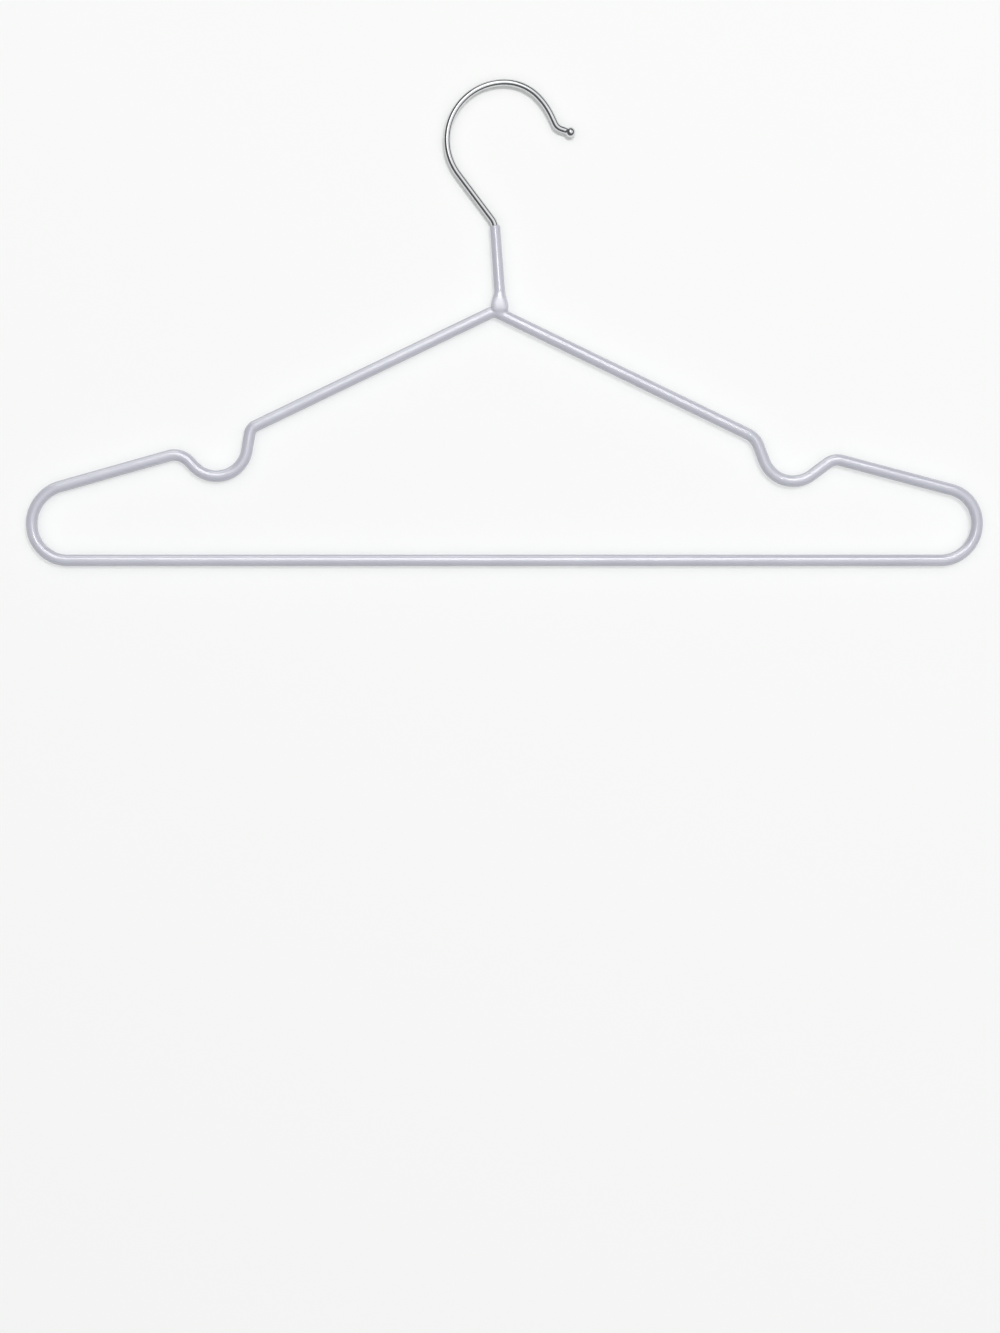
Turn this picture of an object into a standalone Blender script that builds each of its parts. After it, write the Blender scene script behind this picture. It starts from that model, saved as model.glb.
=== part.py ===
"""Coated wire hanger with strap notches and a trouser bar.

One length of steel wire is bent into the closed frame and butt welded beside the neck. A plated hook wire
stands on the frame and is held by a resistance weld. The frame, both welds and the foot of the hook were
then dipped in vinyl, which ends in an open lip just below the bare hook.

The origin is the hook seat, the highest point inside the crook, where the hanger bears on a rail.
+X runs along the trouser bar, -Y is the front and +Z is up. All lengths are in metres.
"""

import math

import bmesh
import bpy
from mathutils import Matrix, Vector

MM = 0.001
DEGREE = math.pi / 180
QUARTER_TURN = 90 * DEGREE

# Wire diameters, how thick the coating lies on them, and the clearance that every coated piece keeps
HOOK_WIRE = 3.0 * MM
FRAME_WIRE = 3.2 * MM
FRAME_COAT = 0.9 * MM
NECK_FOOT_COAT = 0.9 * MM
NECK_MOUTH_COAT = 0.65 * MM
FIT_GAP = 0.25 * MM

# Hook, from the crown of the crook down the closed side to the frame. Radii are those of the wire's axis.
CROOK_RADIUS = 24.9 * MM
CROOK_TURN = 126.8 * DEGREE
SHANK_LENGTH = 24.1 * MM
NECK_BEND_RADIUS = 7.5 * MM
NECK_BEND_TURN = 32.7 * DEGREE
NECK_LENGTH = 37.6 * MM

# Hook, from the crown round the open side to the ball
BROW_RADIUS = 20.4 * MM
BROW_TURN = 45.9 * DEGREE
CHEEK_RADIUS = 31.1 * MM
CHEEK_TURN = 19.3 * DEGREE
CHEEK_RUN = 3.4 * MM
TIP_BEND_RADIUS = 4.4 * MM
TIP_BEND_TURN = 46.5 * DEGREE
TIP_RUN = 4.3 * MM
BALL_DIAMETER = 4.5 * MM

# Coated stretch of the neck, measured along the wire from the frame
NECK_COAT_LENGTH = 38.6 * MM

# Frame, shared sizes
BAR_DROP = 106.6 * MM
FOOT_STAND = 3.4 * MM
APEX_RADIUS = 4.5 * MM

# Frame, left side. The crest is where the arm turns down into the strap notch, and the lip is where it comes
# out again. The toe and the heel are the upper and lower bends of the rounded end. Reaches are measured from
# the line under the seat, rises from the axis of the bar, and the notch and the lip from the corner before.
LEFT_CREST_REACH = 110.0 * MM
LEFT_CREST_RISE = 57.3 * MM
LEFT_CREST_RADIUS = 4.5 * MM
LEFT_NOTCH_LEAN = 6.0 * MM
LEFT_NOTCH_DROP = 36.3 * MM
LEFT_NOTCH_RADIUS = 13.4 * MM
LEFT_LIP_RUN = 24.3 * MM
LEFT_LIP_CLIMB = 25.8 * MM
LEFT_LIP_RADIUS = 9.0 * MM
LEFT_TOE_REACH = 206.2 * MM
LEFT_TOE_RISE = 28.2 * MM
LEFT_TOE_RADIUS = 16.8 * MM
LEFT_HEEL_REACH = 203.3 * MM
LEFT_HEEL_RADIUS = 15.6 * MM

# Frame, right side: each side was bent by itself, so the two aren't quite mirror images
RIGHT_CREST_REACH = 108.8 * MM
RIGHT_CREST_RISE = 53.2 * MM
RIGHT_CREST_RADIUS = 9.5 * MM
RIGHT_NOTCH_LEAN = 10.1 * MM
RIGHT_NOTCH_DROP = 26.9 * MM
RIGHT_NOTCH_RADIUS = 13.4 * MM
RIGHT_LIP_RUN = 23.9 * MM
RIGHT_LIP_CLIMB = 17.9 * MM
RIGHT_LIP_RADIUS = 7.5 * MM
RIGHT_TOE_REACH = 203.8 * MM
RIGHT_TOE_RISE = 28.0 * MM
RIGHT_TOE_RADIUS = 14.8 * MM
RIGHT_HEEL_REACH = 206.4 * MM
RIGHT_HEEL_RADIUS = 16.0 * MM

# Resistance weld between the hook's foot and the frame, a little to the left of the neck, and its coating.
# The weld metal stands out from the hook wire by its build.
WELD_BUILD = 1.2 * MM
WELD_HEIGHT = 6.2 * MM
WELD_RISE = 4.0 * MM
WELD_SHIFT = 0.5 * MM
WELD_COAT = 1.0 * MM

# Butt weld that closes the frame, measured along the left arm from the apex, with a flash that stands out
# from the wire.
BUTT_STAND = 4.2 * MM
BUTT_LENGTH = 0.8 * MM
BUTT_FLASH = 0.2 * MM

# How finely round shapes are cut, as an angle a step or as sides, and the angle from which an edge is crisp.
# A round bar has an even number of sides.
ARC_STEP = 9.0 * DEGREE
COAT_SIDES = 12
FRAME_SIDES = 8
HOOK_SIDES = 12
BALL_SIDES = 16
BALL_RINGS = 10
BUTT_SIDES = 16
CREASE = 40 * DEGREE

# How far a cutter runs past what it cuts, and the distance at which doubled points are merged
OVERRUN = 4.0 * MM
MERGE_DISTANCE = 0.01 * MM

VINYL_COLOUR = (0.66, 0.67, 0.74, 1.0)
CHROME_COLOUR = (0.78, 0.79, 0.80, 1.0)
STEEL_COLOUR = (0.45, 0.45, 0.46, 1.0)
WELD_COLOUR = (0.28, 0.27, 0.27, 1.0)


def finish(name, colour, metallic, roughness):
    """Makes a plain Principled material."""
    material = bpy.data.materials.new(name)
    material.use_nodes = True
    shader = material.node_tree.nodes["Principled BSDF"]
    shader.inputs["Base Color"].default_value = colour
    shader.inputs["Metallic"].default_value = metallic
    shader.inputs["Roughness"].default_value = roughness
    material.diffuse_color = colour
    return material


class BentWire:
    """The centreline of a wire laid out as a bender makes it: straight runs and bends in the XZ plane."""

    def __init__(self, start, heading):
        self.points = [start.copy()]
        self.heading = heading

    def run(self, length):
        """A straight run."""
        self.points.append(self.points[-1] + direction(self.heading) * length)

    def bend(self, radius, turn):
        """A bend of the centreline, positive to the left of the way it runs."""
        side = math.copysign(radius, turn)
        centre = self.points[-1] + direction(self.heading + QUARTER_TURN) * side
        steps = max(1, math.ceil(abs(turn) / ARC_STEP))
        for i in range(1, steps + 1):
            turned = self.heading + turn * i / steps
            self.points.append(centre - direction(turned + QUARTER_TURN) * side)
        self.heading += turn


def direction(angle):
    """A unit vector in the XZ plane, with its angle counted from +X towards +Z."""
    return Vector((math.cos(angle), 0.0, math.sin(angle)))


def rounded_path(corners, radii, closed):
    """Joins corners by straight runs, each corner bent to its radius or to what its runs have room for."""
    count = len(corners)
    inner = range(count) if closed else range(1, count - 1)
    turns = {}
    takes = [0.0] * count
    for i in inner:
        before = (corners[i] - corners[i - 1]).normalized()
        after = (corners[(i + 1) % count] - corners[i]).normalized()
        turns[i] = before.angle(after)
        takes[i] = radii[i] * math.tan(turns[i] / 2)
    room = []
    for i in range(count):
        length = (corners[(i + 1) % count] - corners[i]).length
        wanted = takes[i] + takes[(i + 1) % count]
        room.append(min(1.0, length / wanted) if wanted > 0 else 1.0)
    points = []
    for i in range(count):
        if i not in turns:
            points.append(corners[i].copy())
            continue
        take = takes[i] * min(room[i], room[i - 1])
        before = (corners[i - 1] - corners[i]).normalized()
        after = (corners[(i + 1) % count] - corners[i]).normalized()
        radius = take / math.tan(turns[i] / 2)
        centre = corners[i] + (before + after).normalized() * math.hypot(take, radius)
        start = corners[i] + before * take - centre
        normal = start.cross(corners[i] + after * take - centre).normalized()
        steps = max(1, math.ceil(turns[i] / ARC_STEP))
        for k in range(steps + 1):
            points.append(centre + Matrix.Rotation(turns[i] * k / steps, 3, normal) @ start)
    return points


def cut_path(points, length):
    """The first stretch of a path, cut off at a length along it."""
    kept = [points[0]]
    left = length
    for a, b in zip(points, points[1:]):
        step = (b - a).length
        if step >= left:
            kept.append(a.lerp(b, left / step))
            return kept
        kept.append(b)
        left -= step
    kept.append(points[-1] + (points[-1] - points[-2]).normalized() * left)
    return kept


def round_bar(name, points, diameters, sides, closed, collection):
    """A round bar along points, as a closed mesh. diameters holds one value for each point."""
    curve = bpy.data.curves.new(name, "CURVE")
    curve.dimensions = "3D"
    curve.bevel_depth = diameters[0] / 2
    curve.bevel_resolution = sides // 2 - 2
    curve.use_fill_caps = not closed
    spline = curve.splines.new("POLY")
    spline.points.add(len(points) - 1)
    for knot, place, diameter in zip(spline.points, points, diameters):
        knot.co = (*place, 1.0)
        knot.radius = diameter / diameters[0]
    spline.use_cyclic_u = closed
    guide = bpy.data.objects.new(name + "_guide", curve)
    bpy.context.scene.collection.objects.link(guide)
    bpy.context.view_layer.update()
    mesh = bpy.data.meshes.new_from_object(guide.evaluated_get(bpy.context.evaluated_depsgraph_get()))
    place = guide.matrix_world.copy()
    bpy.data.objects.remove(guide)
    bpy.data.curves.remove(curve)
    mesh.name = name
    work = bmesh.new()
    work.from_mesh(mesh)
    bmesh.ops.remove_doubles(work, verts=work.verts, dist=MERGE_DISTANCE)
    bmesh.ops.recalc_face_normals(work, faces=work.faces)
    work.to_mesh(mesh)
    work.free()
    return add_object(name, mesh, place, collection)


def ellipsoid(name, width, height, place, turn, collection):
    """A ball, or an upright egg of round plan, turned about Y."""
    mesh = bpy.data.meshes.new(name)
    work = bmesh.new()
    bmesh.ops.create_uvsphere(work, u_segments=BALL_SIDES, v_segments=BALL_RINGS, radius=width / 2)
    bmesh.ops.scale(work, vec=(1.0, 1.0, height / width), verts=work.verts)
    work.to_mesh(mesh)
    work.free()
    return add_object(name, mesh, Matrix.Translation(place) @ Matrix.Rotation(turn, 4, "Y"), collection)


def disc(name, diameter, length, place, axis, collection):
    """A round disc with its axis along a direction."""
    mesh = bpy.data.meshes.new(name)
    work = bmesh.new()
    bmesh.ops.create_cone(
        work, cap_ends=True, segments=BUTT_SIDES, radius1=diameter / 2, radius2=diameter / 2, depth=length
    )
    work.to_mesh(mesh)
    work.free()
    turned = Vector((0.0, 0.0, 1.0)).rotation_difference(axis).to_matrix().to_4x4()
    return add_object(name, mesh, Matrix.Translation(place) @ turned, collection)


def add_object(name, mesh, matrix, collection):
    """Links a mesh as a smooth-shaded object with crisp creases."""
    made = bpy.data.objects.new(name, mesh)
    made.matrix_world = matrix
    collection.objects.link(made)
    mesh.shade_smooth()
    mesh.set_sharp_from_angle(angle=CREASE)
    if collection.name == CONSTRUCTION:
        made.hide_render = True
        made.display_type = "WIRE"
    return made


def combine(piece, other, operation):
    """Adds an exact Boolean modifier."""
    modifier = piece.modifiers.new(operation.lower() + "_" + other.name, "BOOLEAN")
    modifier.operation = operation
    modifier.solver = "EXACT"
    modifier.object = other


def hook_lines():
    """The hook's two centrelines from the crown: down the closed side to the frame, and round to the ball."""
    crown = Vector((0.0, 0.0, HOOK_WIRE / 2))
    back = BentWire(crown, 2 * QUARTER_TURN)
    back.bend(CROOK_RADIUS, CROOK_TURN)
    back.run(SHANK_LENGTH)
    back.bend(NECK_BEND_RADIUS, -NECK_BEND_TURN)
    back.run(NECK_LENGTH)
    nose = BentWire(crown, 0.0)
    nose.bend(BROW_RADIUS, -BROW_TURN)
    nose.bend(CHEEK_RADIUS, -CHEEK_TURN)
    nose.run(CHEEK_RUN)
    nose.bend(TIP_BEND_RADIUS, TIP_BEND_TURN)
    nose.run(TIP_RUN)
    return back, nose


def side_corners(side, bar_level, sizes):
    """One side of the frame from the arm's lower end out to the bar, as corners and their bend radii."""
    crest_x, crest_z = sizes["crest_reach"], bar_level + sizes["crest_rise"]
    notch_x, notch_z = crest_x + sizes["notch_lean"], crest_z - sizes["notch_drop"]
    lip_x, lip_z = notch_x + sizes["lip_run"], notch_z + sizes["lip_climb"]
    places = [
        (crest_x, crest_z, sizes["crest_radius"]),
        (notch_x, notch_z, sizes["notch_radius"]),
        (lip_x, lip_z, sizes["lip_radius"]),
        (sizes["toe_reach"], bar_level + sizes["toe_rise"], sizes["toe_radius"]),
        (sizes["heel_reach"], bar_level, sizes["heel_radius"]),
    ]
    return [(Vector((side * x, 0.0, z)), radius) for x, z, radius in places]


LEFT_SIZES = {
    "crest_reach": LEFT_CREST_REACH,
    "crest_rise": LEFT_CREST_RISE,
    "crest_radius": LEFT_CREST_RADIUS,
    "notch_lean": LEFT_NOTCH_LEAN,
    "notch_drop": LEFT_NOTCH_DROP,
    "notch_radius": LEFT_NOTCH_RADIUS,
    "lip_run": LEFT_LIP_RUN,
    "lip_climb": LEFT_LIP_CLIMB,
    "lip_radius": LEFT_LIP_RADIUS,
    "toe_reach": LEFT_TOE_REACH,
    "toe_rise": LEFT_TOE_RISE,
    "toe_radius": LEFT_TOE_RADIUS,
    "heel_reach": LEFT_HEEL_REACH,
    "heel_radius": LEFT_HEEL_RADIUS,
}
RIGHT_SIZES = {
    "crest_reach": RIGHT_CREST_REACH,
    "crest_rise": RIGHT_CREST_RISE,
    "crest_radius": RIGHT_CREST_RADIUS,
    "notch_lean": RIGHT_NOTCH_LEAN,
    "notch_drop": RIGHT_NOTCH_DROP,
    "notch_radius": RIGHT_NOTCH_RADIUS,
    "lip_run": RIGHT_LIP_RUN,
    "lip_climb": RIGHT_LIP_CLIMB,
    "lip_radius": RIGHT_LIP_RADIUS,
    "toe_reach": RIGHT_TOE_REACH,
    "toe_rise": RIGHT_TOE_RISE,
    "toe_radius": RIGHT_TOE_RADIUS,
    "heel_reach": RIGHT_HEEL_REACH,
    "heel_radius": RIGHT_HEEL_RADIUS,
}

HANGER = "coated_wire_hanger"
CONSTRUCTION = "construction"

for old in list(bpy.data.objects):
    bpy.data.objects.remove(old)
parts = bpy.data.collections.new(HANGER)
construction = bpy.data.collections.new(CONSTRUCTION)
bpy.context.scene.collection.children.link(parts)
bpy.context.scene.collection.children.link(construction)

# Layout: the hook's foot stands on the right arm, a little way down from the apex
back, nose = hook_lines()
foot = back.points[-1]
bar_level = foot.z - BAR_DROP
left = side_corners(-1, bar_level, LEFT_SIZES)
right = side_corners(1, bar_level, RIGHT_SIZES)
arm_uphill = (foot - right[0][0]).normalized()
apex = foot + arm_uphill * FOOT_STAND
left_downhill = (left[0][0] - apex).normalized()
butt = apex + left_downhill * BUTT_STAND
loop = [(apex, APEX_RADIUS)] + left + right[::-1]
loop_line = rounded_path([c for c, _ in loop], [r for _, r in loop], True)

# Construction solids: the bores that the wires and welds leave in the coating
bore_diameter = FRAME_WIRE + 2 * FIT_GAP
frame_bore = round_bar(
    "frame_bore", loop_line, [bore_diameter] * len(loop_line), FRAME_SIDES, True, construction
)
neck_line = back.points[::-1]
bore_line = cut_path(neck_line, NECK_COAT_LENGTH + OVERRUN)
hook_bore = round_bar(
    "hook_bore", bore_line, [HOOK_WIRE + 2 * FIT_GAP] * len(bore_line), HOOK_SIDES, False, construction
)
neck_up = (neck_line[1] - neck_line[0]).normalized()
neck_tilt = math.atan2(neck_up.x, neck_up.z)
weld_width = HOOK_WIRE + 2 * WELD_BUILD
weld_centre = foot + neck_up * WELD_RISE - Vector((WELD_SHIFT, 0.0, 0.0))
weld_pocket = ellipsoid(
    "weld_pocket", weld_width + 2 * FIT_GAP, WELD_HEIGHT + 2 * FIT_GAP, weld_centre, neck_tilt, construction
)
butt_diameter = FRAME_WIRE + 2 * BUTT_FLASH
butt_pocket = disc(
    "butt_pocket", butt_diameter + 2 * FIT_GAP, BUTT_LENGTH + 2 * FIT_GAP, butt, left_downhill, construction
)
cavity = add_object("coating_cavity", frame_bore.data, frame_bore.matrix_world, construction)
for hollow in (hook_bore, weld_pocket, butt_pocket):
    combine(cavity, hollow, "UNION")

# Frame wire: one length, from one face of the butt weld round the frame to the other face
half_joint = BUTT_LENGTH / 2 + FIT_GAP
frame_run = (
    [(butt + left_downhill * half_joint, 0.0)]
    + left
    + right[::-1]
    + [(apex, APEX_RADIUS), (butt - left_downhill * half_joint, 0.0)]
)
frame_line = rounded_path([c for c, _ in frame_run], [r for _, r in frame_run], False)
frame_wire = round_bar(
    "frame_wire", frame_line, [FRAME_WIRE] * len(frame_line), FRAME_SIDES, False, parts
)
frame_wire.data.materials.append(finish("mild_steel_wire", STEEL_COLOUR, 1.0, 0.45))

# Butt weld that closes the frame
butt_weld = disc("frame_butt_weld", butt_diameter, BUTT_LENGTH, butt, left_downhill, parts)
butt_weld.data.materials.append(finish("butt_weld_metal", WELD_COLOUR, 1.0, 0.6))

# Hook wire: ball, crook, shank and neck in one piece, its foot shaped to the frame wire
hook_line = nose.points[::-1] + back.points[1:]
hook = round_bar("hook_wire", hook_line, [HOOK_WIRE] * len(hook_line), HOOK_SIDES, False, parts)
ball = ellipsoid("ball_blank", BALL_DIAMETER, BALL_DIAMETER, nose.points[-1], 0.0, construction)
combine(hook, ball, "UNION")
combine(hook, frame_bore, "DIFFERENCE")
hook.data.materials.append(finish("plated_hook_wire", CHROME_COLOUR, 1.0, 0.12))

# Resistance weld round the hook's foot
hook_weld = ellipsoid("hook_weld", weld_width, WELD_HEIGHT, weld_centre, neck_tilt, parts)
combine(hook_weld, hook_bore, "DIFFERENCE")
combine(hook_weld, frame_bore, "DIFFERENCE")
hook_weld.data.materials.append(finish("weld_metal", WELD_COLOUR, 1.0, 0.6))

# Dipped coating: one skin over the frame, the welds and the neck, open at the lip round the hook wire
coat_diameter = FRAME_WIRE + 2 * FRAME_COAT
coating = round_bar(
    "vinyl_coating", loop_line, [coat_diameter] * len(loop_line), COAT_SIDES, True, parts
)
neck_coat_line = cut_path(neck_line, NECK_COAT_LENGTH)
travelled = 0.0
neck_diameters = [HOOK_WIRE + 2 * NECK_FOOT_COAT]
for a, b in zip(neck_coat_line, neck_coat_line[1:]):
    travelled += (b - a).length
    neck_share = travelled / NECK_COAT_LENGTH
    neck_diameters.append(HOOK_WIRE + 2 * (NECK_FOOT_COAT + (NECK_MOUTH_COAT - NECK_FOOT_COAT) * neck_share))
neck_skin = round_bar("neck_skin", neck_coat_line, neck_diameters, COAT_SIDES, False, construction)
weld_skin = ellipsoid(
    "weld_skin", weld_width + 2 * WELD_COAT, WELD_HEIGHT + 2 * WELD_COAT, weld_centre, neck_tilt, construction
)
combine(coating, neck_skin, "UNION")
combine(coating, weld_skin, "UNION")
combine(coating, cavity, "DIFFERENCE")
coating.data.materials.append(finish("dipped_vinyl", VINYL_COLOUR, 0.0, 0.4))
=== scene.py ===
"""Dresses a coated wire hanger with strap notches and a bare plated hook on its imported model.

The classes follow the way the hanger is made. Wire is bent into a closed frame, whose ends are butt welded.
A plated hook wire stands on the frame and is held by a resistance weld. All but the bare hook is then dipped
in soft vinyl, which ends in an open lip at the top of the neck.

The origin is the hook seat, the highest point inside the crook. +X runs along the trouser bar, -Y is the
front and +Z is up. Lengths are in metres, written as millimetres times MM.
"""

import logging
import math
from collections.abc import Sequence
from dataclasses import dataclass, field
from enum import Enum

import bmesh
import bpy
import numpy as np
from mathutils import Matrix, Vector


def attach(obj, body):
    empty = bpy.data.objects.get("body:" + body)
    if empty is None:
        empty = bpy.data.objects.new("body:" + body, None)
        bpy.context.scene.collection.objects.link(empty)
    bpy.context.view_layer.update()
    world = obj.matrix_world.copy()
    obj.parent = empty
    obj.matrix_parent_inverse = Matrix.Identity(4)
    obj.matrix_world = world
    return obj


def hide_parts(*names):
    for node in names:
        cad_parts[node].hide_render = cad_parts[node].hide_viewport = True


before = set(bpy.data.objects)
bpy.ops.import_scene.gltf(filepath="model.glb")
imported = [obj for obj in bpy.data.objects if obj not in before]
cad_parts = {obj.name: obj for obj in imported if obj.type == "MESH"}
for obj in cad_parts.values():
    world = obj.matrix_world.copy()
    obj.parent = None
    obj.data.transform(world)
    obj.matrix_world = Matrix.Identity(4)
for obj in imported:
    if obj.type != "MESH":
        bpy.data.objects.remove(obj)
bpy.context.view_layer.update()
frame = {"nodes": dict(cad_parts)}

MM = 0.001
DEGREE = math.pi / 180
QUARTER_TURN = 90 * DEGREE

# One body, because nothing on the hanger moves
BODY = "root"

# How finely a wire's axis is laid out, in bends and along straight runs
ARC_STEP = 3.0 * DEGREE
RUN_STEP = 2.0 * MM

# Points closer than this are one point
MERGE_DISTANCE = 0.002 * MM

# Edges that turn by more than this stay sharp
SHARP_ANGLE = 50 * DEGREE

# Where the camera stands, as the photograph's frame and the stand-off that its flat view fits
VIEW_CENTRE = Vector((-1.924 * MM, 0.0, -251.66 * MM))
VIEW_HEIGHT = 577.7 * MM
VIEW_DISTANCE = 1600.0 * MM
SENSOR = 36.0

log = logging.getLogger("hanger")


class Side(Enum):
    """A side of the frame, as the sign of its X."""

    LEFT = -1
    RIGHT = 1


class Skin(Enum):
    """A face of the vinyl, as how much of the dip's ripple it carries."""

    BORE = 0.0
    OUTSIDE = 1.0


def linear(colour: str) -> tuple[float, float, float, float]:
    """Turns an sRGB hex colour into the linear values that Blender's sockets take.

    Args:
        colour: The colour as "#RRGGBB".

    Returns:
        Red, green, blue and a full alpha.
    """
    parts = [int(colour[i : i + 2], 16) / 255 for i in (1, 3, 5)]
    red, green, blue = (c / 12.92 if c <= 0.04045 else ((c + 0.055) / 1.055) ** 2.4 for c in parts)
    return red, green, blue, 1.0


def set_inputs(tree: bpy.types.NodeTree, node: bpy.types.Node, inputs: dict[str | int, object]) -> None:
    """Sets or links a node's inputs.

    Args:
        tree: The node's tree.
        node: The node.
        inputs: What each input socket is set to, or the output socket it is linked from.
    """
    for key, value in inputs.items():
        if isinstance(value, bpy.types.NodeSocket):
            tree.links.new(value, node.inputs[key])
        else:
            node.inputs[key].default_value = value


def add_node(
    tree: bpy.types.NodeTree,
    kind: str,
    settings: dict[str, object] | None = None,
    inputs: dict[str | int, object] | None = None,
) -> bpy.types.Node:
    """Adds a node with its settings and links.

    Args:
        tree: The tree that gets the node.
        kind: The node's type.
        settings: The node's own properties.
        inputs: What each input socket is set to, or the output socket it is linked from.

    Returns:
        The new node.
    """
    node = tree.nodes.new(kind)
    for name, value in (settings or {}).items():
        setattr(node, name, value)
    set_inputs(tree, node, inputs or {})
    return node


def direction(angle: float) -> Vector:
    """A unit vector in the XZ plane, with its angle counted from +X towards +Z."""
    return Vector((math.cos(angle), 0.0, math.sin(angle)))


@dataclass
class WireLine:
    """The axis of a wire laid out as a bender makes it: straight runs and bends in the XZ plane."""

    points: list[Vector]
    heading: float

    def run(self, length: float) -> None:
        """Adds a straight run.

        Args:
            length: The run's length.
        """
        start = self.points[-1]
        steps = max(1, math.ceil(length / RUN_STEP))
        self.points += [start + direction(self.heading) * (length * i / steps) for i in range(1, steps + 1)]

    def bend(self, radius: float, turn: float) -> None:
        """Adds a bend.

        Args:
            radius: The bend's radius at the wire's axis.
            turn: The bend's angle, positive to the left of the way the wire runs.
        """
        side = math.copysign(radius, turn)
        centre = self.points[-1] + direction(self.heading + QUARTER_TURN) * side
        steps = max(1, math.ceil(abs(turn) / ARC_STEP))
        for i in range(1, steps + 1):
            self.points.append(centre - direction(self.heading + turn * i / steps + QUARTER_TURN) * side)
        self.heading += turn


def rounded_path(corners: Sequence[Vector], radii: Sequence[float]) -> list[Vector]:
    """Joins corners by straight runs, each inner corner bent to its radius.

    Args:
        corners: The corners, with the path's two ends first and last.
        radii: The bend radius at each corner, unused at the two ends.

    Returns:
        Points along the path, close enough together for a smooth sweep.
    """
    points = [corners[0].copy()]
    for before, corner, after, radius in zip(corners, corners[1:], corners[2:], radii[1:]):
        way_in, way_out = (before - corner).normalized(), (after - corner).normalized()
        turn = math.pi - way_in.angle(way_out)
        take = radius * math.tan(turn / 2)
        centre = corner + (way_in + way_out).normalized() * math.hypot(take, radius)
        spoke = corner + way_in * take - centre
        hinge = spoke.cross(corner + way_out * take - centre).normalized()
        steps = max(1, math.ceil(turn / ARC_STEP))
        points += [centre + Matrix.Rotation(turn * i / steps, 3, hinge) @ spoke for i in range(steps + 1)]
    points.append(corners[-1].copy())
    path = [points[0]]
    for a, b in zip(points, points[1:]):
        steps = max(1, math.ceil((b - a).length / RUN_STEP))
        path += [a.lerp(b, i / steps) for i in range(1, steps + 1)]
    return path


def place_along(line: Sequence[Vector], length: float) -> Vector:
    """Finds the point of a path at a length along it.

    Args:
        line: The path's points.
        length: How far along the path the point lies, or past its end.

    Returns:
        The point.
    """
    left = length
    for a, b in zip(line, line[1:]):
        step = (b - a).length
        if step >= left:
            return a.lerp(b, left / step)
        left -= step
    return line[-1] + (line[-1] - line[-2]).normalized() * left


@dataclass(frozen=True)
class Shape:
    """A mesh as plain arrays: places, faces as rows of indices, and which face of the vinyl it is."""

    places: np.ndarray
    faces: list[tuple[int, ...]]
    skin: Skin


def joined_mesh(name: str, shapes: Sequence[Shape]) -> bpy.types.Mesh:
    """Joins shapes into one closed mesh whose faces point outwards.

    Args:
        name: The mesh's name.
        shapes: Shapes whose open rims lie on each other.

    Returns:
        The mesh, with a ripple_share attribute.

    Raises:
        ValueError: An edge is left open or carries more than two faces.
    """
    places = np.vstack([shape.places for shape in shapes])
    shares = np.concatenate([np.full(len(shape.places), shape.skin.value) for shape in shapes])
    faces, first = [], 0
    for shape in shapes:
        faces += [tuple(first + i for i in face) for face in shape.faces]
        first += len(shape.places)
    mesh = bpy.data.meshes.new(name)
    mesh.from_pydata(places.tolist(), [], faces)
    mesh.attributes.new("ripple_share", "FLOAT", "POINT").data.foreach_set("value", shares)
    work = bmesh.new()
    work.from_mesh(mesh)
    bmesh.ops.remove_doubles(work, verts=work.verts, dist=MERGE_DISTANCE)
    bmesh.ops.recalc_face_normals(work, faces=work.faces)
    open_edges = sum(len(edge.link_faces) != 2 for edge in work.edges)
    work.to_mesh(mesh)
    work.free()
    if open_edges:
        raise ValueError(f"{name} has {open_edges} edges without two faces")
    return mesh


def run_tree(
    name: str, mesh: bpy.types.Mesh, tree: bpy.types.NodeTree, values: dict[str, object]
) -> bpy.types.Mesh:
    """Runs a Geometry Nodes tree on a mesh and keeps the result as a plain mesh.

    Args:
        name: The name of the new mesh.
        mesh: The mesh that the tree starts from.
        tree: The tree.
        values: What each of the tree's named inputs is set to.

    Returns:
        The new mesh.
    """
    host = bpy.data.objects.new(name, mesh)
    bpy.context.scene.collection.objects.link(host)
    modifier = host.modifiers.new("shape", "NODES")
    modifier.node_group = tree
    for item in tree.interface.items_tree:
        if item.in_out == "INPUT" and item.name in values:
            modifier[item.identifier] = values[item.name]
    depsgraph = bpy.context.evaluated_depsgraph_get()
    made = bpy.data.meshes.new_from_object(
        host.evaluated_get(depsgraph), preserve_all_data_layers=True, depsgraph=depsgraph
    )
    bpy.data.objects.remove(host)
    made.name = name
    return made


def new_tree(name: str, sockets: dict[str, str]) -> bpy.types.NodeTree:
    """Makes a Geometry Nodes tree that takes and gives geometry.

    Args:
        name: The tree's name.
        sockets: The named inputs after the geometry, with their socket types.

    Returns:
        The tree, still without nodes.
    """
    tree = bpy.data.node_groups.new(name, "GeometryNodeTree")
    tree.interface.new_socket("Geometry", in_out="INPUT", socket_type="NodeSocketGeometry")
    for socket, kind in sockets.items():
        tree.interface.new_socket(socket, in_out="INPUT", socket_type=kind)
    tree.interface.new_socket("Geometry", in_out="OUTPUT", socket_type="NodeSocketGeometry")
    return tree


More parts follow.
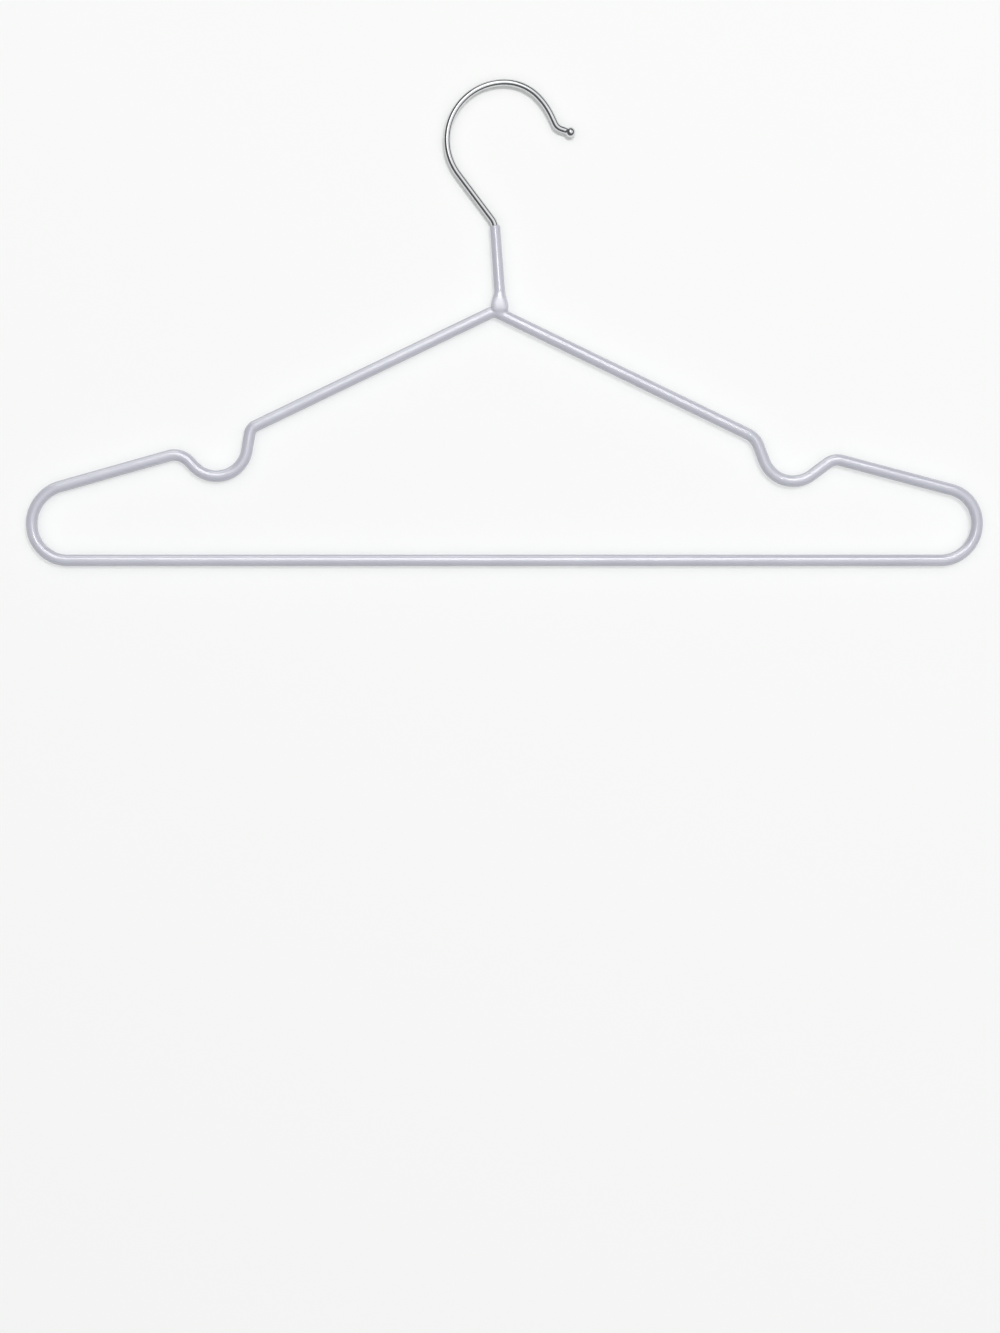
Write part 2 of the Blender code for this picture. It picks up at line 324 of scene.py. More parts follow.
def finish_tree(
    tree: bpy.types.NodeTree, geometry: bpy.types.NodeSocket, material: bpy.types.NodeSocket
) -> None:
    """Ends a Geometry Nodes tree with smooth faces, real instances and the material.

    Args:
        tree: The tree.
        geometry: The socket that gives the shape.
        material: The socket that gives the material.
    """
    smooth = add_node(tree, "GeometryNodeSetShadeSmooth", inputs={"Geometry": geometry}).outputs[0]
    real = add_node(tree, "GeometryNodeRealizeInstances", inputs={"Geometry": smooth}).outputs[0]
    dressed = add_node(tree, "GeometryNodeSetMaterial", inputs={"Geometry": real, "Material": material})
    add_node(tree, "NodeGroupOutput", inputs={"Geometry": dressed.outputs[0]})


def new_material(name: str) -> tuple[bpy.types.Material, bpy.types.NodeTree, bpy.types.Node]:
    """Starts a material.

    Args:
        name: What the finish really is.

    Returns:
        The material, its tree and its shader.
    """
    made = bpy.data.materials.new(name)
    made.use_nodes = True
    return made, made.node_tree, made.node_tree.nodes["Principled BSDF"]


@dataclass
class RoundSweep:
    """Geometry Nodes that sweep a round section, of its own radius at each point, along a wire's axis."""

    tree: bpy.types.NodeTree = field(init=False)

    def __post_init__(self) -> None:
        """Builds the tree once, for every wire."""
        tree = self.tree = new_tree(
            "round_sweep",
            {"Sides": "NodeSocketInt", "Fill Ends": "NodeSocketBool", "Material": "NodeSocketMaterial"},
        )
        given = add_node(tree, "NodeGroupInput").outputs
        radius = add_node(
            tree, "GeometryNodeInputNamedAttribute", {"data_type": "FLOAT"}, {"Name": "section_radius"}
        )
        along = add_node(tree, "GeometryNodeSplineParameter")
        axis = add_node(tree, "GeometryNodeMeshToCurve", inputs={"Mesh": given["Geometry"]})
        measured = add_node(
            tree,
            "GeometryNodeStoreNamedAttribute",
            {"data_type": "FLOAT", "domain": "POINT"},
            {"Geometry": axis.outputs[0], "Name": "wire_run", "Value": along.outputs["Length"]},
        )
        ring = add_node(
            tree, "GeometryNodeCurvePrimitiveCircle", inputs={"Resolution": given["Sides"], "Radius": 1.0}
        )
        spot = add_node(tree, "GeometryNodeInputPosition")
        section = add_node(
            tree,
            "GeometryNodeStoreNamedAttribute",
            {"data_type": "FLOAT_VECTOR", "domain": "POINT"},
            {"Geometry": ring.outputs["Curve"], "Name": "section_spot", "Value": spot.outputs[0]},
        )
        swept = add_node(
            tree,
            "GeometryNodeCurveToMesh",
            inputs={
                "Curve": measured.outputs[0],
                "Profile Curve": section.outputs[0],
                "Scale": radius.outputs["Attribute"],
                "Fill Caps": given["Fill Ends"],
            },
        )
        closed = add_node(
            tree,
            "GeometryNodeMergeByDistance",
            inputs={"Geometry": swept.outputs[0], "Distance": MERGE_DISTANCE},
        )
        finish_tree(tree, closed.outputs[0], given["Material"])

    def mesh(
        self,
        name: str,
        line: Sequence[Vector],
        radii: Sequence[float],
        sides: int,
        material: bpy.types.Material | None = None,
        fill_ends: bool = False,
    ) -> bpy.types.Mesh:
        """Sweeps a round bar.

        Args:
            name: The name of the new mesh.
            line: Points along the axis.
            radii: The section's radius at each point.
            sides: How many sides the section has, a multiple of four.
            material: The bar's finish.
            fill_ends: Whether flat faces close the ends.

        Returns:
            The bar's mesh.
        """
        guide = bpy.data.meshes.new(name + "_axis")
        guide.from_pydata([tuple(p) for p in line], [(i, i + 1) for i in range(len(line) - 1)], [])
        guide.attributes.new("section_radius", "FLOAT", "POINT").data.foreach_set("value", list(radii))
        values = {"Sides": sides, "Fill Ends": fill_ends, "Material": material}
        return run_tree(name, guide, self.tree, values)

    def shape(self, line: Sequence[Vector], radii: Sequence[float], sides: int, skin: Skin) -> Shape:
        """Sweeps a round tube with open ends and gives it as plain arrays."""
        mesh = self.mesh("tube", line, radii, sides)
        return Shape(mesh_places(mesh), [tuple(face.vertices) for face in mesh.polygons], skin)


def mesh_places(mesh: bpy.types.Mesh) -> np.ndarray:
    """Reads where a mesh's vertices are.

    Args:
        mesh: The mesh.

    Returns:
        One row of X, Y and Z a vertex.
    """
    places = np.empty(len(mesh.vertices) * 3)
    mesh.vertices.foreach_get("co", places)
    return places.reshape(-1, 3)


@dataclass
class DipRipple:
    """Geometry Nodes for the slight unevenness that a dip leaves as it runs and sets on the wire."""

    tree: bpy.types.NodeTree = field(init=False)

    def __post_init__(self) -> None:
        """Builds the tree."""
        names = ("Ripple Height", "Ripple Length", "Seed")
        sockets = {name: "NodeSocketFloat" for name in names}
        tree = self.tree = new_tree("dip_ripple", sockets | {"Material": "NodeSocketMaterial"})
        given = add_node(tree, "NodeGroupInput").outputs
        spot = add_node(tree, "GeometryNodeInputPosition")
        share = add_node(
            tree, "GeometryNodeInputNamedAttribute", {"data_type": "FLOAT"}, {"Name": "ripple_share"}
        )
        scale = add_node(tree, "ShaderNodeMath", {"operation": "DIVIDE"}, {0: 1.0, 1: given["Ripple Length"]})
        noise = add_node(
            tree,
            "ShaderNodeTexNoise",
            {"noise_dimensions": "4D"},
            {"Vector": spot.outputs[0], "W": given["Seed"], "Scale": scale.outputs[0], "Detail": 1.0},
        )
        # Noise lies about one half, so that is taken off before it is scaled and masked
        height = noise.outputs["Fac"]
        steps = (("SUBTRACT", 0.5), ("MULTIPLY", given["Ripple Height"]), ("MULTIPLY", share.outputs[0]))
        for step, value in steps:
            height = add_node(tree, "ShaderNodeMath", {"operation": step}, {0: height, 1: value}).outputs[0]
        normal = add_node(tree, "GeometryNodeInputNormal").outputs["Normal"]
        push = add_node(tree, "ShaderNodeVectorMath", {"operation": "SCALE"}, {0: normal, "Scale": height})
        moved = add_node(
            tree,
            "GeometryNodeSetPosition",
            inputs={"Geometry": given["Geometry"], "Offset": push.outputs[0]},
        )
        finish_tree(tree, moved.outputs[0], given["Material"])


@dataclass(frozen=True)
class DippedVinyl:
    """Plasticised PVC, dipped and oven cured.

    The eye sees a pale lavender grey with a soft satin gloss, an even colour with faint clouds, and the fine
    orange peel that plastisol sets with. Over the weld the skin is paler, duller and grainy.
    """

    tint: str = "#C5C6D0"
    cloud: str = "#C0C1CC"
    weld_tint: str = "#D4D4DE"
    cloud_size: float = 22 * MM
    cloud_edges: tuple[float, float] = (0.35, 0.65)
    peel_size: float = 1.3 * MM
    peel_height: float = 0.006 * MM
    grain_size: float = 0.55 * MM
    grain_height: float = 0.05 * MM
    sheen_low: float = 0.17
    sheen_high: float = 0.23
    weld_dullness: float = 0.62
    ior: float = 1.53
    shine: float = 0.75

    def material(self) -> bpy.types.Material:
        """Builds the material.

        Returns:
            The vinyl's material.
        """
        made, tree, shader = new_material("dipped_pvc_skin")
        place = add_node(tree, "ShaderNodeTexCoord").outputs["Object"]
        weld = add_node(tree, "ShaderNodeAttribute", {"attribute_name": "weld_share"}).outputs["Fac"]
        clouds, peel, grain = (
            add_node(
                tree, "ShaderNodeTexNoise", inputs={"Vector": place, "Scale": 1 / size, "Detail": detail}
            ).outputs["Fac"]
            for size, detail in ((self.cloud_size, 3.0), (self.peel_size, 1.0), (self.grain_size, 2.0))
        )
        low, high = self.cloud_edges
        spread = add_node(
            tree, "ShaderNodeMapRange", inputs={"Value": clouds, "From Min": low, "From Max": high}
        ).outputs["Result"]
        colour = add_node(
            tree,
            "ShaderNodeMix",
            {"data_type": "RGBA"},
            {"Factor": spread, 6: linear(self.cloud), 7: linear(self.tint)},
        ).outputs[2]
        paled = add_node(
            tree,
            "ShaderNodeMix",
            {"data_type": "RGBA"},
            {"Factor": weld, 6: colour, 7: linear(self.weld_tint)},
        ).outputs[2]
        gloss = add_node(
            tree,
            "ShaderNodeMapRange",
            inputs={"Value": spread, "To Min": self.sheen_high, "To Max": self.sheen_low},
        ).outputs["Result"]
        dull = add_node(
            tree,
            "ShaderNodeMix",
            {"data_type": "FLOAT"},
            {"Factor": weld, 2: gloss, 3: self.weld_dullness},
        ).outputs[0]
        masked = add_node(tree, "ShaderNodeMath", {"operation": "MULTIPLY"}, {0: grain, 1: weld}).outputs[0]
        skin = add_node(
            tree, "ShaderNodeBump", inputs={"Height": peel, "Distance": self.peel_height}
        ).outputs[0]
        rough = add_node(
            tree, "ShaderNodeBump", inputs={"Height": masked, "Distance": self.grain_height, "Normal": skin}
        ).outputs[0]
        set_inputs(tree, shader, {"IOR": self.ior, "Specular IOR Level": self.shine})
        set_inputs(tree, shader, {"Base Color": paled, "Roughness": dull, "Normal": rough})
        return made


@dataclass(frozen=True)
class PlatedWire:
    """Bright chromium plate over drawn steel wire.

    The eye sees a near mirror, slightly blue, in which faint lines run along the wire where it was drawn. The
    lines are really some hundredths of a millimetre wide and are made coarser, so that they show.
    """

    tint: str = "#DADCDE"
    line_width: float = 0.25 * MM
    line_length: float = 9 * MM
    line_height: float = 0.002 * MM
    smear_size: float = 5 * MM
    smear_edges: tuple[float, float] = (0.45, 0.75)
    clean: float = 0.04
    smeared: float = 0.09

    def material(self) -> bpy.types.Material:
        """Builds the material.

        Returns:
            The plate's material.
        """
        made, tree, shader = new_material("bright_chrome_plate")
        place = add_node(tree, "ShaderNodeTexCoord").outputs["Object"]
        drawn = add_node(tree, "ShaderNodeAttribute", {"attribute_name": "drawn_place"}).outputs["Vector"]
        scale = (1 / self.line_length, 1 / self.line_width, 1 / self.line_width)
        stretched = add_node(tree, "ShaderNodeMapping", inputs={"Vector": drawn, "Scale": scale}).outputs[0]
        lines = add_node(
            tree, "ShaderNodeTexNoise", inputs={"Vector": stretched, "Scale": 1.0, "Detail": 2.0}
        ).outputs["Fac"]
        smears = add_node(
            tree, "ShaderNodeTexNoise", inputs={"Vector": place, "Scale": 1 / self.smear_size, "Detail": 2.0}
        ).outputs["Fac"]
        low, high = self.smear_edges
        gloss = add_node(
            tree,
            "ShaderNodeMapRange",
            inputs={
                "Value": smears,
                "From Min": low,
                "From Max": high,
                "To Min": self.clean,
                "To Max": self.smeared,
            },
        ).outputs["Result"]
        marks = add_node(
            tree, "ShaderNodeBump", inputs={"Height": lines, "Distance": self.line_height}
        ).outputs[0]
        set_inputs(tree, shader, {"Base Color": linear(self.tint), "Metallic": 1.0})
        set_inputs(tree, shader, {"Roughness": gloss, "Normal": marks})
        return made


@dataclass(frozen=True)
class BareSteel:
    """Uncoated steel under the vinyl: drawn wire, or weld metal with its blue and straw heat colours.

    The eye would see a dull grey with patches of scale, rougher on weld metal than on wire.
    """

    name: str
    tint: str
    patch: str
    patch_size: float
    patch_height: float
    smooth: float
    rough: float

    def material(self) -> bpy.types.Material:
        """Builds the material.

        Returns:
            The steel's material.
        """
        made, tree, shader = new_material(self.name)
        place = add_node(tree, "ShaderNodeTexCoord").outputs["Object"]
        patches = add_node(
            tree, "ShaderNodeTexNoise", inputs={"Vector": place, "Scale": 1 / self.patch_size, "Detail": 4.0}
        ).outputs["Fac"]
        colour = add_node(
            tree,
            "ShaderNodeMix",
            {"data_type": "RGBA"},
            {"Factor": patches, 6: linear(self.tint), 7: linear(self.patch)},
        ).outputs[2]
        gloss = add_node(
            tree, "ShaderNodeMapRange", inputs={"Value": patches, "To Min": self.smooth, "To Max": self.rough}
        ).outputs["Result"]
        scale = add_node(
            tree, "ShaderNodeBump", inputs={"Height": patches, "Distance": self.patch_height}
        ).outputs[0]
        set_inputs(tree, shader, {"Base Color": colour, "Metallic": 1.0, "Roughness": gloss, "Normal": scale})
        return made


DRAWN_WIRE = BareSteel("drawn_mild_steel", "#B3B3B5", "#8F8D8B", 4 * MM, 0.01 * MM, 0.35, 0.55)
WELD_METAL = BareSteel("resistance_weld_metal", "#8B8987", "#6B6A74", 1.2 * MM, 0.06 * MM, 0.45, 0.75)


@dataclass
class HookWire:
    """The plated hook: ball tip, crook, shank and neck in one bent wire, its foot coped to the frame."""

    wire: float = 3.0 * MM
    crook_radius: float = 24.9 * MM
    crook_turn: float = 126.8 * DEGREE
    shank: float = 24.1 * MM
    neck_bend_radius: float = 7.5 * MM
    neck_bend_turn: float = 32.7 * DEGREE
    neck: float = 37.6 * MM
    brow_radius: float = 20.4 * MM
    brow_turn: float = 45.9 * DEGREE
    cheek_radius: float = 31.1 * MM
    cheek_turn: float = 19.3 * DEGREE
    cheek_run: float = 3.4 * MM
    tip_bend_radius: float = 4.4 * MM
    tip_bend_turn: float = 46.5 * DEGREE
    tip_run: float = 4.3 * MM
    ball_radius: float = 2.25 * MM
    ball_half_length: float = 2.15 * MM
    groove_depth: float = 0.13 * MM
    groove_length: float = 1.2 * MM
    cope_clearance: float = 0.25 * MM
    cope_start: float = 4.0 * MM
    # Rows of points: down the wall to the cope's rim, and from the rim in to the middle of its hollow face
    cope_rows: tuple[float, ...] = (0.35, 0.7, 1.0)
    hollow_rows: tuple[float, ...] = (0.8, 0.6, 0.4, 0.2)
    sides: int = 32
    ball_steps: int = 22

    def __post_init__(self) -> None:
        """Lays out the two lines from the crown: down the closed side to the frame, and round to the ball."""
        crown = Vector((0.0, 0.0, self.wire / 2))
        self.back = WireLine([crown], 2 * QUARTER_TURN)
        self.back.bend(self.crook_radius, self.crook_turn)
        self.back.run(self.shank)
        self.back.bend(self.neck_bend_radius, -self.neck_bend_turn)
        self.back.run(self.neck)
        self.nose = WireLine([crown], 0.0)
        self.nose.bend(self.brow_radius, -self.brow_turn)
        self.nose.bend(self.cheek_radius, -self.cheek_turn)
        self.nose.run(self.cheek_run)
        self.nose.bend(self.tip_bend_radius, self.tip_bend_turn)
        self.nose.run(self.tip_run)

    @property
    def foot(self) -> Vector:
        """Where the hook's axis meets the frame's."""
        return self.back.points[-1]

    @property
    def neck_line(self) -> list[Vector]:
        """The axis from the foot upwards."""
        return self.back.points[::-1]

    @property
    def neck_up(self) -> Vector:
        """The way the neck runs up from the foot."""
        return -direction(self.back.heading)

    def stations(self) -> tuple[list[Vector], list[float]]:
        """Lays out the wire from above the cope to the ball's pole.

        Returns:
            Points along the axis, and the radius at each.
        """
        radius = self.wire / 2
        whole = self.neck_line + self.nose.points[1:]
        line = [place_along(whole, self.cope_start)]
        line += [p for p in whole if (p - self.foot).length > self.cope_start + RUN_STEP / 4]
        ball = line.pop()
        ahead = direction(self.nose.heading)
        root = math.asin(radius / self.ball_radius)
        collar = self.ball_half_length * math.cos(root)
        line = [p for p in line if (p - ball).length > collar + self.groove_length]
        radii = [radius] * len(line)
        for i in range(self.ball_steps // 2 + 1):
            share = i / (self.ball_steps // 2)
            line.append(ball - ahead * (collar + self.groove_length * (1 - share)))
            radii.append(radius - self.groove_depth * math.sin(math.pi * share) ** 2)
        for i in range(1, self.ball_steps + 1):
            turn = root + (math.pi - root) * i / self.ball_steps
            line.append(ball - ahead * self.ball_half_length * math.cos(turn))
            radii.append(self.ball_radius * math.sin(turn))
        return line, radii

    def build(
        self, sweep: RoundSweep, frame_axis: Vector, frame_wire: float, material: bpy.types.Material
    ) -> bpy.types.Mesh:
        """Makes the hook with its foot shaped to the frame wire.

        Args:
            sweep: The round sweep.
            frame_axis: The direction of the frame's axis at the foot.
            frame_wire: The frame wire's diameter.
            material: The plate.

        Returns:
            The hook as one closed mesh.
        """
        line, radii = self.stations()
        mesh = sweep.mesh("hook", line, radii, self.sides, material)
        work = bmesh.new()
        work.from_mesh(mesh)
        bore = frame_wire / 2 + self.cope_clearance
        rim = [v for v in work.verts if any(edge.is_boundary for edge in v.link_edges)]
        up = self.neck_up
        spokes = {v: v.co - line[0] for v in rim}
        angle = {v: math.atan2(spokes[v].dot(up.cross(Vector((0, 1, 0)))), spokes[v].y) for v in rim}
        rim.sort(key=lambda v: angle[v])

        def coped(spoke: Vector) -> Vector:
            """Finds where a line up the neck leaves the frame's bore.

            Args:
                spoke: How far the line lies from the hook's axis, and which way.

            Returns:
                The place.
            """
            lean, reach = up.dot(frame_axis), spoke.dot(frame_axis)
            a = 1 - lean * lean
            c = spoke.length_squared - reach * reach - bore * bore
            rise = (lean * reach + math.sqrt(lean * lean * reach * reach - a * c)) / a
            return self.foot + spoke + up * rise

        rows = [rim]
        edge = [coped(spokes[v]) for v in rim]
        for share in self.cope_rows:
            rows.append([work.verts.new(v.co.lerp(end, share)) for v, end in zip(rim, edge)])
        for share in self.hollow_rows:
            rows.append([work.verts.new(coped(spokes[v] * share)) for v in rim])
        for above, below in zip(rows, rows[1:]):
            for i in range(len(rim)):
                k = (i + 1) % len(rim)
                work.faces.new((above[i], above[k], below[k], below[i]))
        pole = work.verts.new(coped(Vector()))
        for i in range(len(rim)):
            work.faces.new((rows[-1][i], rows[-1][(i + 1) % len(rim)], pole))
        bmesh.ops.recalc_face_normals(work, faces=work.faces)
        work.to_mesh(mesh)
        work.free()
        mesh.shade_smooth()
        mesh.set_sharp_from_angle(angle=SHARP_ANGLE)
        store_drawn_place(mesh, self.wire / 2)
        return mesh


def store_drawn_place(mesh: bpy.types.Mesh, radius: float) -> None:
    """Stores where each point lies along a wire and on its section, so that drawn lines can follow the wire.

    Args:
        mesh: The wire, with its runs and section spots from the sweep.
        radius: The wire's radius.
    """
    run = np.empty(len(mesh.vertices))
    mesh.attributes["wire_run"].data.foreach_get("value", run)
    spot = np.empty(len(mesh.vertices) * 3)
    mesh.attributes["section_spot"].data.foreach_get("vector", spot)
    place = spot.reshape(-1, 3)[:, [2, 0, 1]] * radius
    place[:, 0] = run
    drawn = mesh.attributes.new("drawn_place", "FLOAT_VECTOR", "POINT")
    drawn.data.foreach_set("vector", place.ravel())


@dataclass(frozen=True)
class SideBends:
    """The bender's sizes for one side of the frame.

    The crest is where the arm turns down into the strap notch, and the lip is where it comes out again. The
    toe and the heel are the upper and lower bends of the rounded end. Reaches are measured from the line
    under the seat, rises from the axis of the bar, and the notch and the lip from the corner before.
    """

    side: Side
    crest: tuple[float, float, float]
    notch: tuple[float, float, float]
    lip: tuple[float, float, float]
    toe: tuple[float, float, float]
    heel: tuple[float, float]

    def corners(self, bar_level: float) -> list[tuple[Vector, float]]:
        """Works out the corners from the arm's lower end out to the bar.

        Args:
            bar_level: The height of the bar's axis.

        Returns:
            The corners, each with its bend radius.
        """
        crest_x, crest_z = self.crest[0], bar_level + self.crest[1]
        notch_x, notch_z = crest_x + self.notch[0], crest_z - self.notch[1]
        lip_x, lip_z = notch_x + self.lip[0], notch_z + self.lip[1]
        rows = [
            (crest_x, crest_z, self.crest[2]),
            (notch_x, notch_z, self.notch[2]),
            (lip_x, lip_z, self.lip[2]),
            (self.toe[0], bar_level + self.toe[1], self.toe[2]),
            (self.heel[0], bar_level, self.heel[1]),
        ]
        return [(Vector((self.side.value * x, 0.0, z)), radius) for x, z, radius in rows]


LEFT_BENDS = SideBends(
    side=Side.LEFT,
    crest=(110.0 * MM, 57.3 * MM, 4.5 * MM),
    notch=(6.0 * MM, 36.3 * MM, 13.4 * MM),
    lip=(24.3 * MM, 25.8 * MM, 9.0 * MM),
    toe=(206.2 * MM, 28.2 * MM, 16.8 * MM),
    heel=(203.3 * MM, 15.6 * MM),
)
RIGHT_BENDS = SideBends(
    side=Side.RIGHT,
    crest=(108.8 * MM, 53.2 * MM, 9.5 * MM),
    notch=(10.1 * MM, 26.9 * MM, 13.4 * MM),
    lip=(23.9 * MM, 17.9 * MM, 7.5 * MM),
    toe=(203.8 * MM, 28.0 * MM, 14.8 * MM),
    heel=(206.4 * MM, 16.0 * MM),
)


@dataclass
class FrameWire:
    """The closed frame: both arms, strap notches, rounded ends and trouser bar, bent from one wire."""

    hook: HookWire
    wire: float = 3.2 * MM
    bar_drop: float = 106.6 * MM
    foot_stand: float = 3.4 * MM
    apex_radius: float = 4.5 * MM
    butt_stand: float = 4.2 * MM
    butt_half_length: float = 0.4 * MM
    butt_clearance: float = 0.25 * MM
    sides: int = 24

    def __post_init__(self) -> None:
        """Lays out the frame from the hook's foot, which stands on the right arm just below the apex."""
        bar_level = self.hook.foot.z - self.bar_drop
        self.left = LEFT_BENDS.corners(bar_level)
        self.right = RIGHT_BENDS.corners(bar_level)
        self.right_uphill = (self.hook.foot - self.right[0][0]).normalized()
        self.apex = self.hook.foot + self.right_uphill * self.foot_stand
        self.left_downhill = (self.left[0][0] - self.apex).normalized()

    def open_loop(self, left_start: float, right_end: float) -> list[Vector]:
        """The frame's axis from a place on the left arm all the way round to one on the right arm.

        Args:
            left_start: How far down the left arm from the apex it starts.
            right_end: How far down the right arm from the apex it ends.

        Returns:
            Points along the axis.
        """
        start = (self.apex + self.left_downhill * left_start, 0.0)
        end = (self.apex - self.right_uphill * right_end, 0.0)
        corners, radii = zip(start, *self.left, *self.right[::-1], end)
        return rounded_path(corners, radii)

    def apex_bend(self, reach: float) -> list[Vector]:
        """The frame's axis over the apex.

        Args:
            reach: How far down each arm it goes.

        Returns:
            Points along the axis.
        """
        corners = [
            self.apex + self.left_downhill * reach,
            self.apex,
            self.apex - self.right_uphill * reach,
        ]
        return rounded_path(corners, [0.0, self.apex_radius, 0.0])

    def build(self, sweep: RoundSweep, material: bpy.types.Material) -> bpy.types.Mesh:
        """Makes the wire from one face of the butt weld round to the other.

        Args:
            sweep: The round sweep.
            material: The steel.

        Returns:
            The wire's mesh.
        """
        butt = self.apex + self.left_downhill * self.butt_stand
        gap = self.butt_half_length + self.butt_clearance
        start = (butt + self.left_downhill * gap, 0.0)
        end = (butt - self.left_downhill * gap, 0.0)
        corners, radii = zip(start, *self.left, *self.right[::-1], (self.apex, self.apex_radius), end)
        line = rounded_path(corners, radii)
        mesh = sweep.mesh("frame_wire_round", line, [self.wire / 2] * len(line), self.sides, material, True)
        mesh.set_sharp_from_angle(angle=SHARP_ANGLE)
        return mesh


@dataclass(frozen=True)
class Fullness:
    """How full a lump is: 2 makes an ellipse, more a flatter face and a tighter rim, and less a taper."""

    section: float = 2.0
    below: float = 2.0
    above: float = 2.0


@dataclass(frozen=True)
class Bead:
    """A rounded lump on a wire, with its own axes, and its own height below and above its widest place."""

    centre: np.ndarray
    axes: np.ndarray
    radius: float
    drop: float
    rise: float
    fullness: Fullness

    def distance(self, places: np.ndarray) -> np.ndarray:
        """Measures how far places are outside the bead, near enough for blending.

        Args:
            places: One row a place.

        Returns:
            One distance a place, negative inside.
        """
        least = 1e-6
        across, deep, up = ((places - self.centre) @ self.axes.T).T
        tall = np.where(up > 0, self.rise, self.drop)
        outline = np.where(up > 0, self.fullness.above, self.fullness.below)
        section = self.fullness.section
        across, deep, up = np.abs(across) / self.radius, np.abs(deep) / self.radius, np.abs(up) / tall
        ring = np.maximum((across**section + deep**section) ** (1 / section), least)
        size = np.maximum((ring**outline + up**outline) ** (1 / outline), least)
        rim = (ring / size) ** (outline - 1) / self.radius
        slopes = [
            rim * (across / ring) ** (section - 1),
            rim * (deep / ring) ** (section - 1),
            (up / size) ** (outline - 1) / tall,
        ]
        return (size - 1) / np.linalg.norm(np.stack(slopes, axis=1), axis=1)


@dataclass(frozen=True)
class Tube:
    """A round tube along a line of points, with its own radius at each."""

    line: np.ndarray
    radii: np.ndarray

    def distance(self, places: np.ndarray) -> np.ndarray:
        """Measures how far places are outside the tube.

        Args:
            places: One row a place.

        Returns:
            One distance a place, negative inside.
        """
        start, step = self.line[:-1], np.diff(self.line, axis=0)
        offset = places[:, None] - start
        share = np.clip(np.einsum("pij,ij->pi", offset, step) / (step**2).sum(1), 0, 1)
        gap = np.linalg.norm(offset - share[..., None] * step, axis=2)
        return (gap - self.radii[:-1] - share * np.diff(self.radii)).min(1)


def blended(a: np.ndarray, b: np.ndarray, fillet: float | np.ndarray) -> np.ndarray:
    """The nearer of two distances, rounded where they are about equal."""
    overlap = np.maximum(fillet - np.abs(a - b), 0) / fillet
    return np.minimum(a, b) - overlap * overlap * fillet / 4


@dataclass(frozen=True)
class FlowSkin:
    """The face that the vinyl forms where the neck, the weld and the two arms meet."""

    arms: Tube
    neck: Tube
    weld: Bead
    neck_fillet: float
    left_fillet: float
    right_fillet: float
    fillet_turn: tuple[float, float]

    def distance(self, places: np.ndarray) -> np.ndarray:
        """Measures how far places are outside the skin.

        Args:
            places: One row a place.

        Returns:
            One distance a place, negative inside.
        """
        low, high = self.fillet_turn
        share = np.clip((places[:, 0] - low) / (high - low), 0, 1)
        fillet = self.left_fillet + (self.right_fillet - self.left_fillet) * share
        lump = blended(self.neck.distance(places), self.weld.distance(places), self.neck_fillet)
        return blended(self.arms.distance(places), lump, fillet)

    def settle(self, places: np.ndarray, rounds: int) -> np.ndarray:
        """Moves places onto the skin along its slope.

        Args:
            places: One row a place.
            rounds: How many steps each takes.

        Returns:
            The moved places.
        """
        nudge, least = 0.001 * MM, 0.1
        for _ in range(rounds):
            slope = np.stack(
                [
                    (self.distance(places + step) - self.distance(places - step)) / (2 * nudge)
                    for step in np.eye(3) * nudge
                ],
                axis=1,
            )
            size = np.maximum((slope**2).sum(1), least)
            places = places - slope * (self.distance(places) / size)[:, None]
        return places

    def reach(self, centre: np.ndarray, rays: np.ndarray) -> np.ndarray:
        """Finds where rays from a centre inside leave the skin, by steps and then by halves.

        Args:
            centre: The point inside.
            rays: One unit vector a ray.

        Returns:
            One place a ray.
        """
        first, last, step, halvings = 0.2, 12.0, 0.1, 24
        lengths = np.arange(first, last, step) * MM
        tries = centre + lengths[None, :, None] * rays[:, None, :]
        outside = self.distance(tries.reshape(-1, 3)).reshape(len(rays), -1) > 0
        far = lengths[outside.argmax(1)]
        near = far - step * MM
        for _ in range(halvings):
            middle = (near + far) / 2
            out = self.distance(centre + rays * middle[:, None]) > 0
            near, far = np.where(out, near, middle), np.where(out, middle, far)
        return centre + rays * far[:, None]


@dataclass(frozen=True)
class TubeMouth:
    """The open ring of a tube that runs away from the junction, ordered from the front towards its left."""

    ring: np.ndarray
    heading: float

    @classmethod
    def of(cls, tube: Shape, sides: int, place: Vector, heading: float) -> "TubeMouth":
        """Finds a tube's ring at a place and puts it in order.

        Args:
            tube: The swept tube.
            sides: How many points the ring has.
            place: The ring's centre.
            heading: The angle in the XZ plane at which the tube runs away from the junction.

        Returns:
            The mouth.
        """
        spokes = tube.places - np.array(place)
        near = np.argsort((spokes**2).sum(1))[:sides]
        left = np.array(direction(heading + QUARTER_TURN))
        turn = np.arctan2(spokes[near] @ left, -spokes[near][:, 1])
        order = np.round(turn / (2 * math.pi / sides)).astype(int) % sides
        ring = np.empty((sides, 3))
        ring[order] = tube.places[near]
        return cls(ring, heading)


